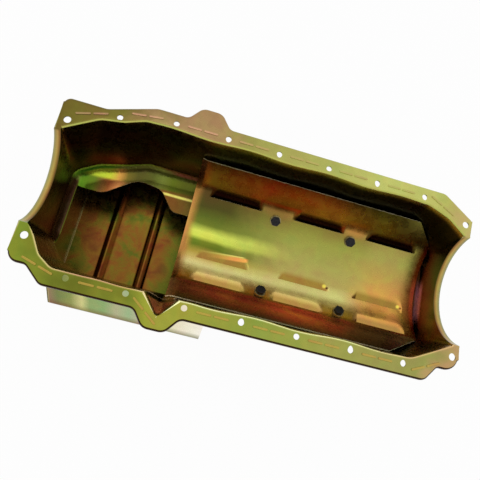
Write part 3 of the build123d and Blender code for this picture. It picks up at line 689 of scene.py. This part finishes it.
def stations(needed, closest, low, high):
    # even stations from low to high, with the needed ones put in their place
    needed = sorted(needed)
    needed = [n for k, n in enumerate(needed) if k == 0 or n - needed[k - 1] > closest]
    kept = sorted({round(n, 3) for n in needed} | {low, high})
    places = [kept[0]]
    for nextOne in kept[1:]:
        start = places[-1]
        gap = nextOne - start
        count = max(1, round(gap / tray["step"]))
        places += [start + gap * k / count for k in range(1, count + 1)]
    return places


def trayFlank(side):
    # where a flank leaves the arc, in mm round it and in (y, z), and the way from there to its upper edge
    angle = radians(tray["leftBend"] if side > 0 else tray["rightBend"])
    foot = Vector((sin(angle), -cos(angle))) * tray["radius"]
    edgeY, edgeDepth = tray["leftEdge"] if side > 0 else tray["rightEdge"]
    return tray["radius"] * angle, foot, Vector((edgeY, -edgeDepth)) - foot


def traySpot(s):
    # point and outward normal of the tray's inner face, at s mm round it from straight down
    for side in (1, -1):
        bendAt, foot, run = trayFlank(side)
        along = (s - bendAt) * side
        soft = tray["creaseSoft"]
        flat = run.normalized()
        flatNormal = Vector((flat.y, -flat.x)) * side
        if along >= soft:
            return foot + flat * along, flatNormal
        if along > -soft:
            # a quadratic blend between the arc and the flank
            u = (along + soft) / (2 * soft)
            early = (bendAt - side * soft) / tray["radius"]
            arcNormal = Vector((sin(early), -cos(early)))
            start = arcNormal * tray["radius"]
            end = foot + flat * soft
            spot = start * (1 - u) ** 2 + foot * 2 * u * (1 - u) + end * u * u
            return spot, (arcNormal * (1 - u) + flatNormal * u).normalized()
    angle = s / tray["radius"]
    normal = Vector((sin(angle), -cos(angle)))
    return normal * tray["radius"], normal


def louvrePress(x, s, centre, openAt, span):
    # how far the sheet is pressed out here by one louvre, from 0 to 1
    half, taper, blend = tray["louvreLength"] / 2, tray["louvreTaper"], tray["louvreBlend"]
    fromEdge = 1 - (s - openAt) / span
    if fromEdge > 1.001 or abs(x - centre) >= half - tray["near"]:
        return 0.0
    fromEnd = (half - taper * (1 - fromEdge) - abs(x - centre)) / taper
    overlap = max(blend - abs(fromEdge - fromEnd), 0) / blend
    lower = min(fromEdge, fromEnd) - overlap * overlap * blend / 4
    overlap = max(blend - abs(lower), 0) / blend
    return max(lower, 0) + overlap * overlap * blend / 4


def makeTray():
    radius, near = tray["radius"], tray["near"]
    span = radians(tray["louvreSpan"]) * radius
    half = tray["louvreLength"] / 2
    rows = [(radians(angle) * radius, centres) for angle, centres in tray["rows"]]
    right, left = trayFlank(-1), trayFlank(1)
    needX = [centre + side * (half - d) for _, centres in rows for centre in centres for side in (-1, 1)
             for d in (0, tray["louvreTaper"])]
    needX += [tray["rearX"] + d for d in tray["endCuts"]] + [tray["frontX"] - d for d in tray["endCuts"]]
    needS = [at + span * k for at, _ in rows for k in tray["louvreCuts"]]
    needS += [flank[0] + d for flank in (right, left) for d in tray["creaseCuts"]]
    xs = stations(needX, tray["closestX"], tray["rearX"], tray["frontX"])
    ss = stations(needS, tray["closestS"], right[0] - right[2].length, left[0] + left[2].length)
    bm = bmesh.new()
    bmesh.ops.create_grid(bm, x_segments=len(xs) - 1, y_segments=len(ss) - 1, size=1.0)
    for vert in bm.verts:
        i = round((vert.co.x + 1) / 2 * (len(xs) - 1))
        j = round((vert.co.y + 1) / 2 * (len(ss) - 1))
        vert.co = (xs[i], ss[j], 0)
    # the front corners of the flanks are cut off
    for side, cut in ((1, tray["leftCut"]), (-1, tray["rightCut"])):
        bendAt, foot, run = trayFlank(side)
        faces = [f for f in bm.faces if (f.calc_center_median().y - bendAt) * side > 0]
        # each edge and vertex once, and in the same order on every run
        edges = list(dict.fromkeys(e for f in faces for e in f.edges))
        verts = list(dict.fromkeys(v for f in faces for v in f.verts))
        bmesh.ops.bisect_plane(bm, geom=verts + edges + faces, dist=1e-5, clear_outer=True,
                               plane_co=(tray["frontX"], bendAt, 0), plane_no=(run.length, side * cut, 0))
    # lance each louvre's open edge
    slits = []
    for openAt, centres in rows:
        for centre in centres:
            slits += [e for e in bm.edges if all(abs(v.co.y - openAt) < near
                                                 and abs(v.co.x - centre) < half + near for v in e.verts)]
    bmesh.ops.split_edges(bm, edges=slits)
    rolledEnd = bm.faces.layers.float.new("rolledEnd")
    pressed = bm.verts.layers.float.new("pressed")
    places = {}
    for vert in bm.verts:
        x, s = vert.co.x, vert.co.y
        press = 0.0
        for openAt, centres in rows:
            onFlap = s > openAt + near or all(f.calc_center_median().y > openAt for f in vert.link_faces)
            for centre in centres:
                if onFlap and abs(x - centre) < half + near:
                    press = max(press, louvrePress(x, s, centre, openAt, span))
        roll = (1 - smoothStep(x, tray["rearX"] - tray["endStart"], tray["rearX"] + tray["endRoll"])
                + smoothStep(x, tray["frontX"] - tray["endRoll"], tray["frontX"] + tray["endStart"]))
        spot, normal = traySpot(s)
        spot = spot + normal * (press * tray["louvreDepth"] + roll * tray["endDrop"])
        places[vert] = (Vector((x, spot.x, spot.y)) * mm, press, roll)
    for face in bm.faces:
        rolls = [places[v][2] for v in face.verts]
        face[rolledEnd] = min(1.0, tray["endWorked"] * sum(rolls) / len(rolls))
    for vert, (co, press, roll) in places.items():
        vert.co = co
        vert[pressed] = press
    # the sheet's inner face looks up, and its thickness goes outwards
    bm.normal_update()
    if sum(f.normal.z for f in bm.faces) < 0:
        bmesh.ops.reverse_faces(bm, faces=bm.faces)
    thickness = {"thickness": tray["sheet"] * mm, "offset": -1.0, "material_offset_rim": 1}
    ease = {"width": tray["edgeEase"] * mm, "segments": tray["easeSegments"], "limit_method": "ANGLE",
            "angle_limit": radians(tray["easeFrom"]), "use_clamp_overlap": True}
    finishPiece(bm, "windageTray", trayFinish, "windage_tray", tray["sharpFrom"],
                (("SOLIDIFY", thickness), ("BEVEL", ease)), cutFinish)


makeTray()
print("tray done")

# the sump box and the small parts, with their edges eased
easedParts = {
    # node: (piece, finish, slot, ease in mm, segments)
    "sump_wrap": ("sumpWrap", sumpFinish, "pan_plating", 0.3, 1),
    "sump_rear_plate": ("sumpRearPlate", plateFinish, "pan_plating", 0.3, 1),
    "sump_front_plate": ("sumpFrontPlate", plateFinish, "pan_plating", 0.3, 1),
    "left_gusset": ("leftGusset", plateFinish, "pan_plating", 0.3, 1),
    "right_gusset": ("rightGusset", plateFinish, "pan_plating", 0.3, 1),
    "drain_bung": ("drainBung", plateFinish, "pan_plating", 0.5, 2),
    "drain_washer": ("drainWasher", copperFinish, "copper_washer", 0.3, 2),
    "drain_plug": ("drainPlug", zincFinish, "bright_zinc", 0.6, 2),
}
for number in (1, 2, 3, 4):
    easedParts[f"tray_standoff_{number}"] = (f"trayStandoff{number}", plateFinish, "pan_plating", 0.3, 1)
    easedParts[f"tray_washer_{number}"] = (f"trayWasher{number}", dullZincFinish, "bright_zinc", 0.25, 2)
    easedParts[f"tray_bolt_{number}"] = (f"trayBolt{number}", boltFinish, "black_bolt", 0.7, 2)


def settleRibs(bm):
    bm.normal_update()
    for vert in bm.verts:
        level = (sumpRibs["innerLevel"] if vert.normal.z > 0 else sumpRibs["outerLevel"]) * mm
        rise = vert.co.z - level
        if 0 < rise < sumpRibs["height"] * mm and abs(vert.co.y) < sumpRibs["halfWidth"] * mm:
            vert.co.z = level + rise * sumpRibs["settle"]


for nodeName, (pieceName, finish, slot, ease, segments) in easedParts.items():
    bm = mergedCopy(nodeName)
    if nodeName == "sump_wrap":
        settleRibs(bm)
    corners = [e for e in bm.edges
               if len(e.link_faces) == 2 and e.calc_face_angle(0) > radians(meshCopy["easeFrom"])]
    roundEdges(bm, corners, ease, segments, True)
    finishPiece(bm, pieceName, finish, nodeName)
print("sump box and small parts done")

# a pale studio: a floor that the camera and the metal see as nearly white, and one soft lamp over the
# rear of the left-hand ledge, in metres and watts
studio = {
    "floorHalf": 6.0, "floorGap": 0.001, "paper": "F4F4F4", "floorGlow": 0.96, "fill": 0.7,
    "lampPlace": (-0.37, 0.5, 1.2), "lampTarget": (-0.37, 0.5, 0), "lampSize": (0.46, 0.12),
    "lampPower": 0.35,
}
# the camera, in metres and degrees
view = {"lens": 34.18, "place": (-0.08136, -0.16001, 0.52884), "turn": (13.4674, -9.5944, 13.2679)}
white = (1, 1, 1, 1)


def seenDirectly(tree):
    # 1 for the camera's rays, and for those that gloss and glass send on
    ray = addNode(tree, "ShaderNodeLightPath").outputs
    share = ray["Is Camera Ray"]
    for kind in ("Is Glossy Ray", "Is Transmission Ray"):
        share = addNode(tree, "ShaderNodeMath", {0: share, 1: ray[kind]}, operation="MAXIMUM")
    return share


def makeFloor():
    bm = bmesh.new()
    bmesh.ops.create_grid(bm, x_segments=1, y_segments=1, size=studio["floorHalf"])
    bmesh.ops.translate(bm, verts=bm.verts, vec=(0, 0, cadBox[0][2] - studio["floorGap"]))
    mesh = bpy.data.meshes.new("floor")
    bm.to_mesh(mesh)
    bm.free()
    floor = bpy.data.objects.new("floor", mesh)
    bpy.context.scene.collection.objects.link(floor)
    material, tree = newMaterial("paleFloor")
    paper = addNode(tree, "ShaderNodeBsdfDiffuse", None, {"Color": linear(studio["paper"])})
    glow = addNode(tree, "ShaderNodeEmission", None, {"Color": white, "Strength": 1.0})
    share = addNode(tree, "ShaderNodeMath", {0: seenDirectly(tree)}, {1: studio["floorGlow"]},
                    operation="MULTIPLY")
    mixed = addNode(tree, "ShaderNodeMixShader", {0: share, 1: paper, 2: glow})
    addNode(tree, "ShaderNodeOutputMaterial", {"Surface": mixed})
    mesh.materials.append(material)


def makeWorld():
    world = bpy.data.worlds.new("studio")
    bpy.context.scene.world = world
    world.use_nodes = True
    tree = world.node_tree
    tree.nodes.clear()
    strength = addNode(tree, "ShaderNodeMapRange", {"Value": seenDirectly(tree)},
                       {"To Min": studio["fill"], "To Max": 1.0})
    background = addNode(tree, "ShaderNodeBackground", {"Strength": strength}, {"Color": white})
    addNode(tree, "ShaderNodeOutputWorld", {"Surface": background})


def addLamp():
    light = bpy.data.lights.new("ledgeSoftbox", "AREA")
    light.shape = "RECTANGLE"
    light.size, light.size_y = studio["lampSize"]
    light.energy = studio["lampPower"]
    lamp = bpy.data.objects.new("ledgeSoftbox", light)
    place = Vector(studio["lampPlace"])
    aim = (Vector(studio["lampTarget"]) - place).to_track_quat("-Z", "Y")
    lamp.matrix_world = Matrix.LocRotScale(place, aim, None)
    lamp.visible_camera = False
    bpy.context.scene.collection.objects.link(lamp)


def makeCamera():
    camera = bpy.data.cameras.new("camera")
    camera.sensor_width = 36.0
    camera.lens = view["lens"]
    eye = bpy.data.objects.new("camera", camera)
    turn = Euler([radians(angle) for angle in view["turn"]])
    eye.matrix_world = Matrix.LocRotScale(Vector(view["place"]), turn, None)
    bpy.context.scene.collection.objects.link(eye)
    bpy.context.scene.camera = eye


makeFloor()
makeWorld()
makeCamera()
addLamp()
bpy.context.scene.view_settings.view_transform = "Standard"
print("studio done")
